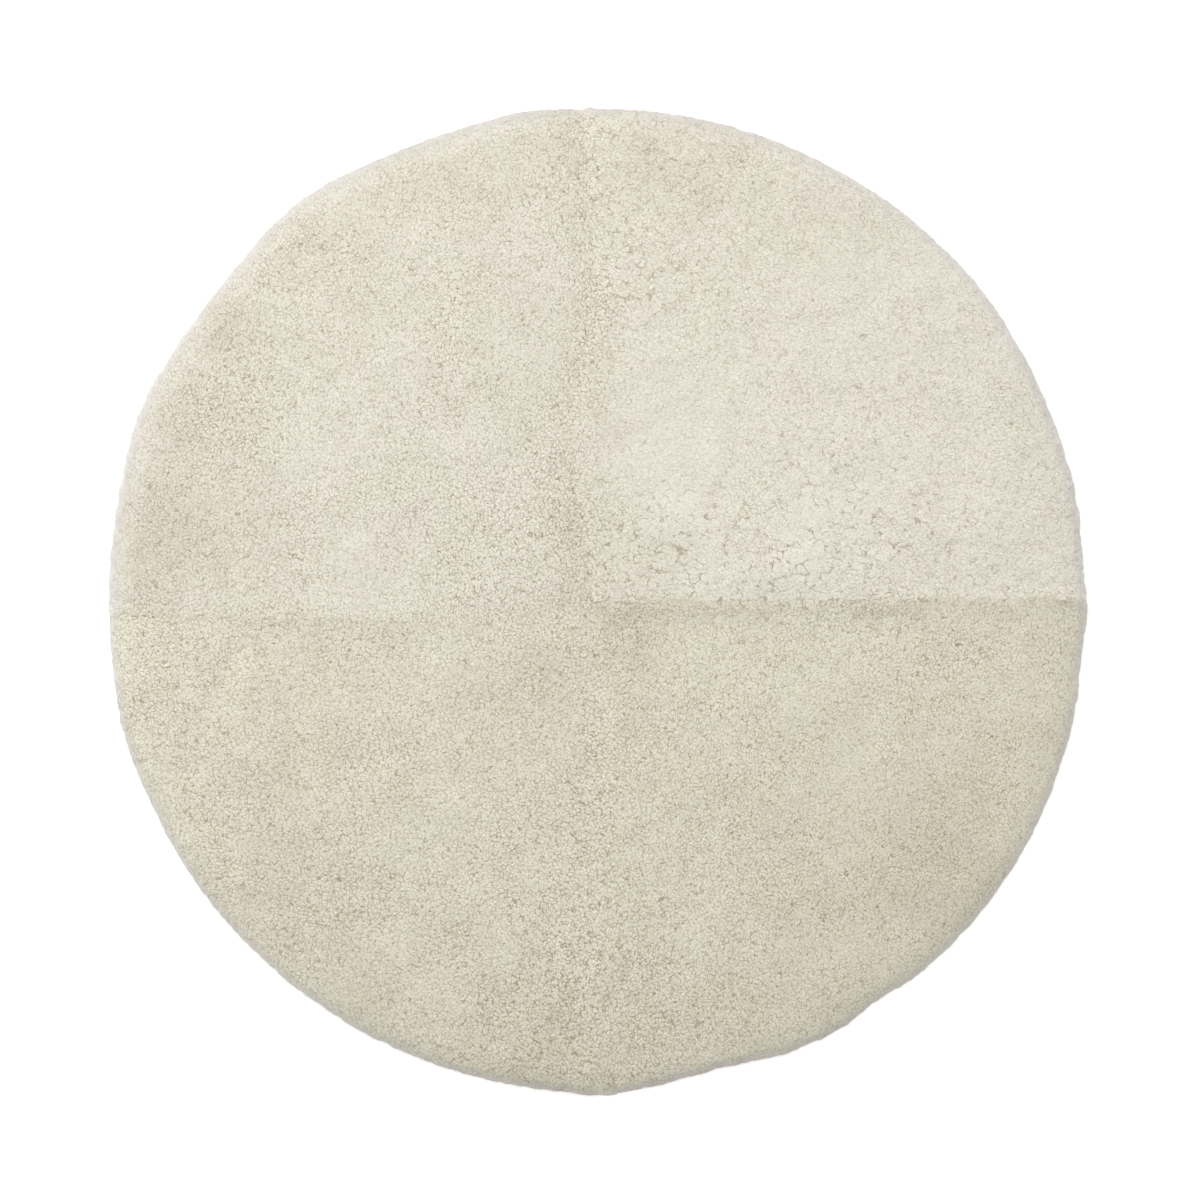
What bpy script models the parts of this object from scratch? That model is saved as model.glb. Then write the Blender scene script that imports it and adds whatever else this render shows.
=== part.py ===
"""A round floor rug of four short curly sheepskins, sewn edge to edge, wool side up.

Each skin is one closed solid, hide and wool together: a slab with a flat underside, a lumpy wool top with
troughs along its seams and creases, and short locks that roll over its rim. Two seams cross near the
middle and part the rug into four skins, which stay a thin gap apart.

Metres, +Z up, +X to the right and +Y to the back. The rug lies on Z = 0, with its middle over the origin.
"""

import math
from collections import namedtuple

import bmesh
import bpy
import numpy as np
from mathutils import Vector, noise

# Driving dimensions
RUG_RADIUS = 0.600
CROSSING = (-0.009, -0.002)  # where the seams cross, from the middle of the outline
PIECE_GAP = 0.0003  # between neighbouring skins

# Wool
CROSSING_HEIGHT = 0.0165  # of the wool where the seams cross
SHOULDER_INSET = 0.030  # the level wool ends this far inside the outline
SHOULDER_DROP = 0.05  # share of its height that the wool has lost there
SHOULDER_SOFTNESS = 0.020
LOCK_DEPTH = 0.0036  # of the notches between the locks at the rim
LOCK_BELLY = 0.0012  # how far a lock stands out past the outline
LOCK_UNEVENNESS = 0.7  # how far a notch is shifted from an even row, as a share of a lock
LOCK_VARIETY = 0.31  # how soon along the rim the locks change
CREASE_TIP = 0.3  # share of its depth that a crease has at its two ends

# Mesh density of one skin
GRID = 33  # squares along each seam
BANK = 0.012  # width of the narrow squares beside the seams, as a share of a seam's length
LOCK_POINTS = 4  # points along the rim for each lock
CREASE_STEPS = 25  # points along a crease, to find how near it passes
OUTLINE_ROUNDS = 4  # of closing in on the outline from the crossing
SHARP_ANGLE = 55  # degrees: flatter edges are shaded smooth

# Soft swells and lumps, from large to small
Lumps = namedtuple("Lumps", "size height")
LUMP_LAYERS = (
    Lumps(0.230, 0.0045),
    Lumps(0.055, 0.0036),
    Lumps(0.026, 0.0018),
)

# Where the outline departs from a circle: degrees anticlockwise from +X, half width in degrees, metres out
Bulge = namedtuple("Bulge", "angle half_width height")
BULGES = (
    Bulge(5, 6, -0.0065),
    Bulge(19, 15, -0.0045),
    Bulge(42, 12, 0.0015),
    Bulge(99, 5, 0.0030),
    Bulge(127, 8, 0.0095),
    Bulge(157, 7, 0.0065),
    Bulge(180, 10, -0.0020),
    Bulge(196, 5, 0.0030),
    Bulge(270, 3, 0.0040),
    Bulge(284, 8, -0.0100),
    Bulge(305, 4, -0.0060),
    Bulge(341, 6, -0.0030),
    Bulge(352, 6, -0.0075),
)

# The seams, each running out from the crossing: its direction in degrees, the height of the wool on it, and
# how wide a bank the wool makes down to it on its clockwise and on its anticlockwise side
Seam = namedtuple("Seam", "direction height bank_before bank_after")
SEAMS = {
    "right": Seam(0, 0.0170, 0.014, 0.006),
    "back": Seam(90, 0.0195, 0.010, 0.012),
    "left": Seam(180, 0.0180, 0.009, 0.014),
    "front": Seam(270, 0.0172, 0.012, 0.014),
}

# How each seam wanders: distance from the crossing, and metres to its anticlockwise side there
WANDER = {
    # name: ((distance, sideways), ...)
    "right": ((0.0, 0.0), (0.13, 0.002), (0.31, 0.004), (0.50, 0.005), (0.64, 0.004)),
    "back": (
        (0.0, 0.0),
        (0.065, 0.010),
        (0.140, 0.019),
        (0.205, 0.026),
        (0.270, 0.020),
        (0.345, -0.006),
        (0.430, 0.001),
        (0.530, 0.007),
        (0.640, 0.017),
    ),
    "left": (
        (0.0, 0.0),
        (0.055, -0.001),
        (0.115, 0.013),
        (0.165, 0.018),
        (0.345, 0.022),
        (0.490, 0.015),
        (0.640, 0.009),
    ),
    "front": (
        (0.0, 0.0),
        (0.050, 0.013),
        (0.105, 0.026),
        (0.205, 0.028),
        (0.325, 0.017),
        (0.480, 0.012),
        (0.640, 0.010),
    ),
}

# Creases that folding left in the skins, each a bow from a start towards a middle and on to an end. A
# negative depth is a ridge.
Crease = namedtuple("Crease", "start middle end depth half_width")
CREASES = (
    Crease((-0.527, 0.207), (-0.466, 0.112), (-0.426, -0.020), 0.0066, 0.015),
    Crease((-0.395, -0.050), (-0.366, -0.205), (-0.341, -0.370), 0.0070, 0.015),
    Crease((-0.430, -0.045), (-0.486, -0.135), (-0.508, -0.228), 0.0050, 0.014),
    Crease((-0.432, -0.075), (-0.434, -0.160), (-0.420, -0.260), -0.0026, 0.022),
    Crease((0.068, 0.301), (0.104, 0.222), (0.169, 0.145), 0.0062, 0.013),
    Crease((-0.003, 0.110), (0.020, 0.082), (0.052, 0.055), 0.0044, 0.011),
    Crease((0.240, 0.128), (0.326, 0.146), (0.420, 0.186), 0.0032, 0.019),
    Crease((0.036, -0.183), (0.130, -0.172), (0.232, -0.122), 0.0026, 0.012),
    Crease((0.316, -0.060), (0.328, -0.165), (0.316, -0.282), 0.0032, 0.016),
    Crease((0.395, -0.345), (0.452, -0.282), (0.498, -0.220), -0.0030, 0.021),
)

# How the wool rolls over the rim, row by row from the shoulder down to the underside: the row's inset from
# the outline, its share of the wool's height, and its share of the depth of the notches between locks
RimRow = namedtuple("RimRow", "inset height_share lock_share")
RIM_ROWS = (
    RimRow(0.0170, 0.870, 0.3),
    RimRow(0.0060, 0.640, 0.9),
    RimRow(0.0000, 0.350, 1.0),
    RimRow(0.0035, 0.115, 0.8),
    RimRow(0.0130, 0.000, 0.2),
)

# The skins, each between a first seam and the next one anticlockwise. A skin's lumps follow its own pattern.
Skin = namedtuple("Skin", "name first second wool pattern colour")
SKINS = (
    Skin("skin_back_right", "right", "back", 0.0250, 1.3, (0.74, 0.71, 0.62)),
    Skin("skin_back_left", "back", "left", 0.0235, 4.6, (0.73, 0.69, 0.58)),
    Skin("skin_front_left", "left", "front", 0.0220, 7.4, (0.68, 0.64, 0.53)),
    Skin("skin_front_right", "front", "right", 0.0205, 9.8, (0.64, 0.60, 0.49)),
)


def clear_scene():
    """Start from an empty scene."""
    for item in list(bpy.data.objects):
        bpy.data.objects.remove(item, do_unlink=True)


def smooth_curve(places, rows):
    """The value at each place of a smooth curve through rows of (place, value)."""
    stops, values = np.array(rows).T
    slopes = np.gradient(values, stops)
    left = np.clip(np.searchsorted(stops, places) - 1, 0, len(stops) - 2)
    span = stops[left + 1] - stops[left]
    share = (places - stops[left]) / span
    return (
        values[left] * (1 + 2 * share) * (1 - share) ** 2
        + slopes[left] * span * share * (1 - share) ** 2
        + values[left + 1] * (3 - 2 * share) * share**2
        + slopes[left + 1] * span * (share - 1) * share**2
    )


def outline_radius(angle):
    """The outline's distance from its own middle."""
    radius = np.full_like(angle, RUG_RADIUS)
    for bulge in BULGES:
        away = (np.degrees(angle) - bulge.angle + 180) % 360 - 180
        radius += bulge.height * np.exp(-((away / bulge.half_width) ** 2))
    return radius


def outline_reach(angle):
    """The outline's distance from the crossing of the seams."""
    reach = np.full_like(angle, RUG_RADIUS)
    for _ in range(OUTLINE_ROUNDS):
        x = CROSSING[0] + reach * np.cos(angle)
        y = CROSSING[1] + reach * np.sin(angle)
        reach += outline_radius(np.arctan2(y, x)) - np.hypot(x, y)
    return reach


def seam_angle(seam, reach):
    """The direction in which a seam lies from the crossing, at a distance from it."""
    sideways = smooth_curve(reach, WANDER[seam]) / np.maximum(reach, 0.001)
    return math.radians(SEAMS[seam].direction) + np.arcsin(np.clip(sideways, -1, 1))


def plan(skin, turn, reach):
    """Where a point of a skin lies seen from above, with its distance to the skin's two seams.

    turn is 0 on the skin's first seam and 1 on its second, and reach is the distance from the crossing on
    a round outline, which the real outline then stretches.
    """
    start = seam_angle(skin.first, reach)
    sweep = (seam_angle(skin.second, reach) - start) % (2 * math.pi)
    angle = start + turn * sweep
    stretched = reach * outline_reach(angle) / RUG_RADIUS
    x = CROSSING[0] + stretched * np.cos(angle)
    y = CROSSING[1] + stretched * np.sin(angle)
    return x, y, stretched * turn * sweep, stretched * (1 - turn) * sweep


def crease_depth(x, y):
    """How far the creases lower the wool. Each is deepest at its middle."""
    depth = np.zeros_like(x)
    for crease in CREASES:
        nearest = np.full_like(x, np.inf)
        strength = np.zeros_like(x)
        for along in np.linspace(0, 1, CREASE_STEPS):
            weights = ((1 - along) ** 2, 2 * along * (1 - along), along**2)
            bow_x, bow_y = np.dot(weights, (crease.start, crease.middle, crease.end))
            away = np.hypot(x - bow_x, y - bow_y)
            depth_share = CREASE_TIP + (1 - CREASE_TIP) * math.sin(math.pi * along)
            strength = np.where(away < nearest, depth_share, strength)
            nearest = np.minimum(nearest, away)
        depth += crease.depth * strength * np.exp(-((nearest / crease.half_width) ** 2))
    return depth


def lump_height(x, y, pattern):
    """How far the soft swells and lumps raise the wool."""
    height = np.zeros(x.size)
    for lumps in LUMP_LAYERS:
        for index, (at_x, at_y) in enumerate(zip(x.flat, y.flat)):
            place = Vector((at_x / lumps.size, at_y / lumps.size, pattern))
            height[index] += lumps.height * noise.noise(place)
    return height.reshape(x.shape)


def wool_top(skin, turn, reach):
    """The points of the wool's top at these turns and reaches."""
    x, y, to_first, to_second = plan(skin, turn, reach)
    first = SEAMS[skin.first]
    second = SEAMS[skin.second]
    by_first = np.exp(-((to_first / first.bank_after) ** 2))
    by_second = np.exp(-((to_second / second.bank_before) ** 2))
    z = (skin.wool + lump_height(x, y, skin.pattern) - crease_depth(x, y)) * (1 - by_first) * (1 - by_second)
    z += first.height * by_first * (1 - by_second) + second.height * by_second * (1 - by_first)
    z += CROSSING_HEIGHT * by_first * by_second
    past_shoulder = np.maximum(RUG_RADIUS - SHOULDER_INSET - reach, 0) / SHOULDER_SOFTNESS
    z *= 1 - SHOULDER_DROP * np.exp(-past_shoulder)
    return np.stack([x, y, z], axis=-1)


def level_grid():
    """The turns and reaches of the level wool: a square grid bent to fill a quarter round."""
    steps = np.append(0, np.linspace(BANK, 1, GRID))
    across, up = np.meshgrid(steps, steps, indexing="ij")
    round_x = across * np.sqrt(1 - up**2 / 2)
    round_y = up * np.sqrt(1 - across**2 / 2)
    turn = np.arctan2(round_y, round_x) / (math.pi / 2)
    return turn, np.hypot(round_x, round_y) * (RUG_RADIUS - SHOULDER_INSET)


def rim_row(skin, row, shoulder_turns):
    """One row of points along the rim, drawn in at the notches between the locks."""
    steps = np.arange(2 * len(shoulder_turns) - 1)
    turn = np.interp(steps / 2, np.arange(len(shoulder_turns)), shoulder_turns)
    uneven = np.array([noise.noise(Vector((LOCK_VARIETY * step, skin.pattern, 0))) for step in steps])
    belly = np.abs(np.sin(math.pi * (steps / LOCK_POINTS + LOCK_UNEVENNESS * uneven)))
    notch = LOCK_DEPTH * (1 - belly) - LOCK_BELLY * belly * (1 + 2 * uneven)
    notch[[0, -1]] = LOCK_DEPTH
    points = wool_top(skin, turn, RUG_RADIUS - row.inset - row.lock_share * notch)
    return points * (1, 1, row.height_share)


def add_points(shape, points):
    """Add a row of points to the mesh."""
    return [shape.verts.new(point) for point in points]


def join_rows(shape, upper, lower):
    """Faces between two rows of as many points each."""
    for k in range(len(upper) - 1):
        shape.faces.new((upper[k], upper[k + 1], lower[k + 1], lower[k]))


def join_to_finer(shape, coarse, fine):
    """Faces between a row and one with twice its steps."""
    for k in range(len(coarse) - 1):
        shape.faces.new((coarse[k], fine[2 * k + 1], fine[2 * k]))
        shape.faces.new((coarse[k], coarse[k + 1], fine[2 * k + 1]))
        shape.faces.new((coarse[k + 1], fine[2 * k + 2], fine[2 * k + 1]))


def skin_mesh(skin):
    """The closed solid of one skin."""
    shape = bmesh.new()
    turn, reach = level_grid()
    top_points = wool_top(skin, turn, reach)
    top = [add_points(shape, row) for row in top_points]
    for near, far in zip(top, top[1:]):
        join_rows(shape, near, far)
    shoulder = top[-1] + [row[-1] for row in top[-2::-1]]
    shoulder_turns = np.append(turn[-1], turn[-2::-1, -1])
    rim = [add_points(shape, rim_row(skin, row, shoulder_turns)) for row in RIM_ROWS]
    join_to_finer(shape, shoulder, rim[0])
    for upper, lower in zip(rim, rim[1:]):
        join_rows(shape, upper, lower)

    # The two walls along the seams, then the flat underside
    on_floor = (1, 1, 0)
    first_foot = add_points(shape, top_points[:, 0] * on_floor)
    second_foot = first_foot[:1] + add_points(shape, top_points[0, 1:] * on_floor)
    for wall_top, foot, end in (([row[0] for row in top], first_foot, 0), (top[0], second_foot, -1)):
        join_rows(shape, wall_top, foot)
        shape.faces.new([wall_top[-1]] + [row[end] for row in rim] + [foot[-1]])
    shape.faces.new(first_foot + rim[-1] + second_foot[:0:-1])
    bmesh.ops.recalc_face_normals(shape, faces=shape.faces)

    mesh = bpy.data.meshes.new(skin.name)
    shape.to_mesh(mesh)
    shape.free()
    mesh.shade_smooth()
    mesh.set_sharp_from_angle(angle=math.radians(SHARP_ANGLE))
    return mesh


def wool_material(name, colour):
    """Plain matt wool."""
    material = bpy.data.materials.new(name)
    material.use_nodes = True
    shader = material.node_tree.nodes["Principled BSDF"]
    shader.inputs["Base Color"].default_value = (*colour, 1)
    shader.inputs["Roughness"].default_value = 0.95
    shader.inputs["Metallic"].default_value = 0
    return material


def half_gap(skin):
    """How far a skin stands off its two seams, towards its own quarter."""
    middle = math.radians(SEAMS[skin.first].direction + 45)
    x = math.copysign(PIECE_GAP / 2, math.cos(middle))
    y = math.copysign(PIECE_GAP / 2, math.sin(middle))
    return Vector((x, y, 0))


def make_rug():
    """Make the skins, and centre the box that holds them over the origin."""
    rug = bpy.data.objects.new("rug", None)
    bpy.context.scene.collection.objects.link(rug)
    corners = []
    for skin in SKINS:
        piece = bpy.data.objects.new(skin.name, skin_mesh(skin))
        piece.data.materials.append(wool_material(skin.name + "_wool", skin.colour))
        piece.location = half_gap(skin)
        piece.parent = rug
        bpy.context.scene.collection.objects.link(piece)
        corners += [piece.location + Vector(corner) for corner in piece.bound_box]
    low = np.min(corners, axis=0)
    high = np.max(corners, axis=0)
    rug.location = (-(low[0] + high[0]) / 2, -(low[1] + high[1]) / 2, 0)


clear_scene()
make_rug()
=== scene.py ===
"""The looks of a round sheepskin rug: its curly wool, suede hides and stitched seams, around the CAD frame.

Each skin's wool is one closed form: a square grid of points bent to fill its quarter and raised by curls, and
rows of points that roll over its rim. How strong the gaps between the curls look at each point, how dark the
wool is there with its painted shade, and how much of the rim's haze of fibres lies there, goes to the wool's
material in two attributes, nap and haze.

Metres, +Z up, +X to the right and +Y to the back. The values down to CREASES repeat the CAD source's, but the
small lumps are lower here, where the curls add to them.
"""

import math
from collections import namedtuple

import bpy
import numpy as np
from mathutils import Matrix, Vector, noise


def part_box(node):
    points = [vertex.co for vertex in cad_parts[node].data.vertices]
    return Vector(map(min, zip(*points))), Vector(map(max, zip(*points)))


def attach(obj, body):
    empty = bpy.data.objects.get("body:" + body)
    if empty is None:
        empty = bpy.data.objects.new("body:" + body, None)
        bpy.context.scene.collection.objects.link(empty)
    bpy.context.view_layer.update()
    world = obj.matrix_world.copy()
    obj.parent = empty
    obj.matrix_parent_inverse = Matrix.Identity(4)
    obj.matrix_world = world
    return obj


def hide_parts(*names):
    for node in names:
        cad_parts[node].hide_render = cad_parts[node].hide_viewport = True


# The rug and its seams
RUG_RADIUS = 0.600
CROSSING = (-0.009, -0.002)  # where the seams cross, from the middle of the outline
PIECE_GAP = 0.0003  # between neighbouring skins
SHOULDER_INSET = 0.030  # the level wool ends this far inside the outline
SHOULDER_DROP = 0.05  # share of its height that the wool has lost there
SHOULDER_SOFTNESS = 0.020
CREASE_STEPS = 13  # points along a crease, to find how near it passes
CREASE_TIP = 0.3  # share of its depth that a crease has at its two ends
OUTLINE_ROUNDS = 4  # of closing in on the outline from the crossing

# Soft swells and lumps, from large to small
Lumps = namedtuple("Lumps", "size height")
LUMP_LAYERS = (Lumps(0.230, 0.0045), Lumps(0.055, 0.0016), Lumps(0.026, 0.0008))

# Where the outline departs from a circle: degrees anticlockwise from +X, half width in degrees, metres out
Bulge = namedtuple("Bulge", "angle half_width height")
BULGES = (
    Bulge(5, 6, -0.0065),
    Bulge(19, 15, -0.0045),
    Bulge(42, 12, 0.0015),
    Bulge(99, 5, 0.0030),
    Bulge(127, 8, 0.0095),
    Bulge(157, 7, 0.0065),
    Bulge(180, 10, -0.0020),
    Bulge(196, 5, 0.0030),
    Bulge(270, 3, 0.0040),
    Bulge(284, 8, -0.0100),
    Bulge(305, 4, -0.0060),
    Bulge(341, 6, -0.0030),
    Bulge(352, 6, -0.0075),
)

# The seams, with their directions in degrees
SEAMS = {"right": 0, "back": 90, "left": 180, "front": 270}

# How far each seam strays to its left, looking out from the crossing: rows of (distance from it, metres)
WANDER = {
    "right": ((0.0, 0.0), (0.13, 0.002), (0.31, 0.004), (0.50, 0.005), (0.64, 0.004)),
    "back": (
        *((0.0, 0.0), (0.065, 0.010), (0.140, 0.019), (0.205, 0.026), (0.270, 0.020)),
        *((0.345, -0.006), (0.430, 0.001), (0.530, 0.007), (0.640, 0.017)),
    ),
    "left": (
        *((0.0, 0.0), (0.055, -0.001), (0.115, 0.013), (0.165, 0.018), (0.345, 0.022)),
        *((0.490, 0.015), (0.640, 0.009)),
    ),
    "front": (
        *((0.0, 0.0), (0.050, 0.013), (0.105, 0.026), (0.205, 0.028), (0.325, 0.017)),
        *((0.480, 0.012), (0.640, 0.010)),
    ),
}

# Creases: the start, the handle and the end of a bow, its depth, less than 0 for a ridge, and half its width
Crease = namedtuple("Crease", "start middle end depth half_width")
CREASES = (
    Crease((-0.527, 0.207), (-0.466, 0.112), (-0.426, -0.020), 0.0066, 0.015),
    Crease((-0.395, -0.050), (-0.366, -0.205), (-0.341, -0.370), 0.0070, 0.015),
    Crease((-0.430, -0.045), (-0.486, -0.135), (-0.508, -0.228), 0.0050, 0.014),
    Crease((-0.432, -0.075), (-0.434, -0.160), (-0.420, -0.260), -0.0026, 0.022),
    Crease((0.068, 0.301), (0.104, 0.222), (0.169, 0.145), 0.0062, 0.013),
    Crease((-0.003, 0.110), (0.020, 0.082), (0.052, 0.055), 0.0044, 0.011),
    Crease((0.240, 0.128), (0.326, 0.146), (0.420, 0.186), 0.0032, 0.019),
    Crease((0.036, -0.183), (0.130, -0.172), (0.232, -0.122), 0.0026, 0.012),
    Crease((0.316, -0.060), (0.328, -0.165), (0.316, -0.282), 0.0032, 0.016),
    Crease((0.395, -0.345), (0.452, -0.282), (0.498, -0.220), -0.0030, 0.021),
)

# The skins anticlockwise, each from its first seam to its second: the height of its wool, the pattern of its
# lumps, the height of its clumps and of its curls in millimetres, its curls to a metre, the strength of the
# gaps between the curls and of the long gaps between the clumps, the reach of the rim's haze and the painted
# shade under it, the way the wool lies in degrees, and the colours of its tips and of its depths, which are
# yellower and darkened with painted shade
Skin = namedtuple(
    "Skin", "name first second wool pattern clumps curls fineness fine coarse haze shade lie colour deep"
)
SKINS = (
    Skin(
        "back_right", "right", "back", wool=0.025, pattern=1.3,
        clumps=0.5, curls=0.35, fineness=190, fine=0.85, coarse=0.3,
        haze=0.009, shade=0.5, lie=-28, colour=(0.804, 0.767, 0.667), deep=(0.39, 0.33, 0.225),
    ),
    Skin(
        "back_left", "back", "left", wool=0.0235, pattern=4.6,
        clumps=0.15, curls=0.25, fineness=208, fine=1.05, coarse=0.1,
        haze=0.012, shade=0.5, lie=80, colour=(0.81, 0.773, 0.674), deep=(0.37, 0.31, 0.21),
    ),
    Skin(
        "front_left", "left", "front", wool=0.022, pattern=7.4,
        clumps=0.2, curls=0.3, fineness=200, fine=1.25, coarse=0.15,
        haze=0.006, shade=0.12, lie=-15, colour=(0.806, 0.771, 0.646), deep=(0.36, 0.3, 0.2),
    ),
    Skin(
        "front_right", "front", "right", wool=0.0205, pattern=9.8,
        clumps=0.08, curls=0.2, fineness=225, fine=1.2, coarse=0.1,
        haze=0.006, shade=0.16, lie=65, colour=(0.794, 0.76, 0.631), deep=(0.36, 0.3, 0.2),
    ),
)
NEIGHBOUR_BLEND = 0.014  # how far from a seam the two skins' clumps differ in full

# What the wool does beside each seam, on its clockwise side and on its anticlockwise side: how far it drops,
# over what width, and how much painted shade it has, painted light where less than 0. Then how much stronger
# the gaps are there, and how far out
SeamLook = namedtuple(
    "SeamLook", "drop_before bank_before dark_before drop_after bank_after dark_after fine width"
)
SEAM_LOOKS = {
    "right": SeamLook(-0.0040, 0.021, 0.11, 0.0001, 0.016, -0.03, 0.10, 0.022),
    "back": SeamLook(0.0026, 0.010, -0.03, 0.0014, 0.030, 0.04, 0.50, 0.030),
    "left": SeamLook(0.0004, 0.018, 0.00, -0.0009, 0.018, 0.04, 0.10, 0.022),
    "front": SeamLook(0.0008, 0.014, -0.06, -0.0006, 0.014, -0.06, 0.25, 0.060),
}

# Places where the dark, the gaps between the curls or the long gaps are stronger or weaker
Patch = namedtuple("Patch", "x y radius dark fine coarse", defaults=(0.0, 0.0))
PATCHES = [Patch(*row) for row in (
    (0.07, 0.085, 0.075, 0.02, -0.1, 0.6),
    (0.18, 0.04, 0.08, 0, -0.05, 0.5),
    (0.33, 0.05, 0.09, 0, 0.05, 0.4),
    (0.1, 0.22, 0.09, -0.05, -0.35, -0.2),
    (0.09, 0.12, 0.04, -0.05, -0.4),
    (0.33, 0.38, 0.09, 0, -0.35),
    (0.3, 0.17, 0.13, -0.05, -0.1, 0.1),
    (-0.045, 0.06, 0.06, 0.12, 0.4, 0.1),
    (-0.17, 0.06, 0.08, 0.02, 0.25, 0.05),
    (-0.48, 0.24, 0.09, 0.05, 0.4),
    (0.04, -0.045, 0.05, 0.2, 0.5, 0.1),
    (0.18, -0.03, 0.06, 0.12, 0.2),
    (0, -0.25, 0.09, 0, 0.2, 0.35),
    (0, -0.44, 0.12, 0, 0.25, 0.55),
    (-0.02, 0.5, 0.08, 0, -0.1, 0.35),
    (0.03, 0.38, 0.07, 0, 0.1, 0.45),
    (0.39, -0.06, 0.06, -0.02, 0.1, 0.55),
    (-0.47, -0.11, 0.1, -0.02, 0.05, 0.35),
    (-0.4, 0.04, 0.06, 0, 0, 0.3),
    (-0.42, 0.28, 0.12, 0, 0.05, 0.2),
    (-0.3, -0.3, 0.12, 0, 0.2, 0.1),
    (0.38, -0.37, 0.14, 0.2, 0.1),
    (0.43, -0.11, 0.08, -0.06, 0.05),
    (0.12, -0.5, 0.1, 0.04, 0.45, 0.3),
    (-0.1, -0.56, 0.09, 0.18, 0.1, 0.1),
    (-0.38, -0.38, 0.08, 0.14),
    (-0.12, -0.13, 0.08, 0.14, 0.15),
    (0.06, -0.34, 0.1, -0.2, 0, 0.1),
    (-0.55, -0.08, 0.06, -0.14, 0.1),
    (-0.53, 0.09, 0.07, 0.16, 0.15),
    (-0.19, 0.54, 0.08, 0.16, 0.1),
    (0.15, 0.55, 0.09, 0.16, 0.1),
    (-0.35, 0.19, 0.09, -0.09, 0, 0.05),
    (0.27, 0.04, 0.08, -0.16, 0, 0.1),
    (0.2, -0.06, 0.12, -0.1, -0.15, 0.1),
    (-0.13, 0.03, 0.1, -0.12, 0.05),
    (-0.12, 0.14, 0.11, -0.09, 0.25, 0.1),
    (0.17, -0.25, 0.11, 0, 0.25, 0.1),
    (-0.43, -0.34, 0.09, 0, 0.25, 0.1),
    (0.12, -0.38, 0.08, -0.06, 0.1, 0.1),
    (0.3, 0.19, 0.12, -0.07, 0, 0.05),
    (-0.38, -0.21, 0.08, 0.1),
    (-0.33, -0.12, 0.08, 0.07),
    (-0.31, 0.215, 0.06, 0.08),
    (-0.55, 0.215, 0.06, 0.12),
    (0.3, -0.125, 0.07, 0.08),
    (-0.34, 0.15, 0.08, -0.06),
    (0.06, 0.52, 0.09, 0.08, 0, 0.1),
    (0.3, 0.47, 0.08, 0.15),
    (-0.3, 0.47, 0.07, 0.13),
    (-0.04, -0.55, 0.06, 0.12, 0.1),
    (-0.468, 0.34, 0.045, 0.34),
    (-0.387, 0.43, 0.05, 0.16),
    (-0.57, 0.06, 0.06, 0.18),
    (-0.282, -0.488, 0.045, 0.26),
    (-0.19, -0.54, 0.055, 0.14),
    (-0.06, 0.575, 0.05, 0.12),
    (0.06, 0.575, 0.05, 0.12),
    (0.45, -0.32, 0.09, 0.1),
    (0.53, -0.15, 0.08, 0.12),
    (0.41, -0.23, 0.06, 0.06),
    (-0.45, 0.085, 0.085, 0.11),
    (0.043, 0.216, 0.06, 0.08),
    (-0.042, -0.08, 0.06, 0.11),
)]

# Layers of soft noise: how strong it is, how large its swells are, and its seed
Layer = namedtuple("Layer", "strength size seed")
WARP_X = (Layer(0.0042, 0.026, 11), Layer(0.0016, 0.0095, 12))  # of the tufts' cells
WARP_Y = (Layer(0.0042, 0.026, 13), Layer(0.0016, 0.0095, 14))
UNEVEN = (Layer(1.0, 0.06, 15),)  # of the gaps
CLOUDS = (Layer(0.05, 0.05, 16), Layer(0.05, 0.017, 17))  # of the dark
BROKEN = (Layer(0.9, 0.013, 53),)  # of the painted shade beside the seams
GRAIN = (Layer(0.15, 0.003, 51), Layer(0.15, 0.0021, 52))  # of the wool's height, in millimetres
STRAY_X = (Layer(0.002, 0.011, 61), Layer(0.0016, 0.006, 62))  # of the seams and the rim
STRAY_Y = (Layer(0.002, 0.011, 63), Layer(0.0016, 0.006, 64))
RIM_STEADINESS = 0.6  # share of the straying that the rim lacks

# Tufts: clumps, and the curls that they are made of
CLUMP_SIZE = 0.017
CLUMP_SEED = 21
CURL_SIZE = 0.0085
CURL_SEED = 31
TUFT_SCATTER = 0.86  # of the tufts' middles, as a share of a cell
GAP_REACH = 0.42  # from a gap to the tuft's level top, as a share of a cell
GAP_LEAST = 0.25  # depth of the shallowest gap between two tufts
GAP_RANGE = 0.95  # and how much deeper the deepest is
PAIR_MIX = 7.31  # makes one random number of two tufts'
TUFT_LIFT = 0.35  # how much higher or lower a tuft stands, as a share of a gap's depth
CREASE_SHARE = 0.35  # of a crease's depth that the curls leave open

# The gaps' strength, the dark in the wool with its painted shade, and the haze
FINE_UNEVENNESS = 0.28
COARSE_UNEVENNESS = 0.7
BASE_DARK = 0.07
# A thin line of painted shade on each seam: its strength and its width
SEAM_LINE_SHADE = 0.02
SEAM_LINE_WIDTH = 0.003
HAZE_MOST = 0.85
HAZE_COVER = 0.9  # share of the gaps that a full haze hides
NO_NAP = (0.0, 0.0, 0.0, 0.0)  # fine, coarse, dark, haze
FIBRE_NAP = (0.0, 0.0, 0.0, 0.6)
# The walls along the seams and the foot under the rim: full gaps and painted shade
DEEP_SHADE_NAP = (1.0, 0.0, 0.3, 0.0)

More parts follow.
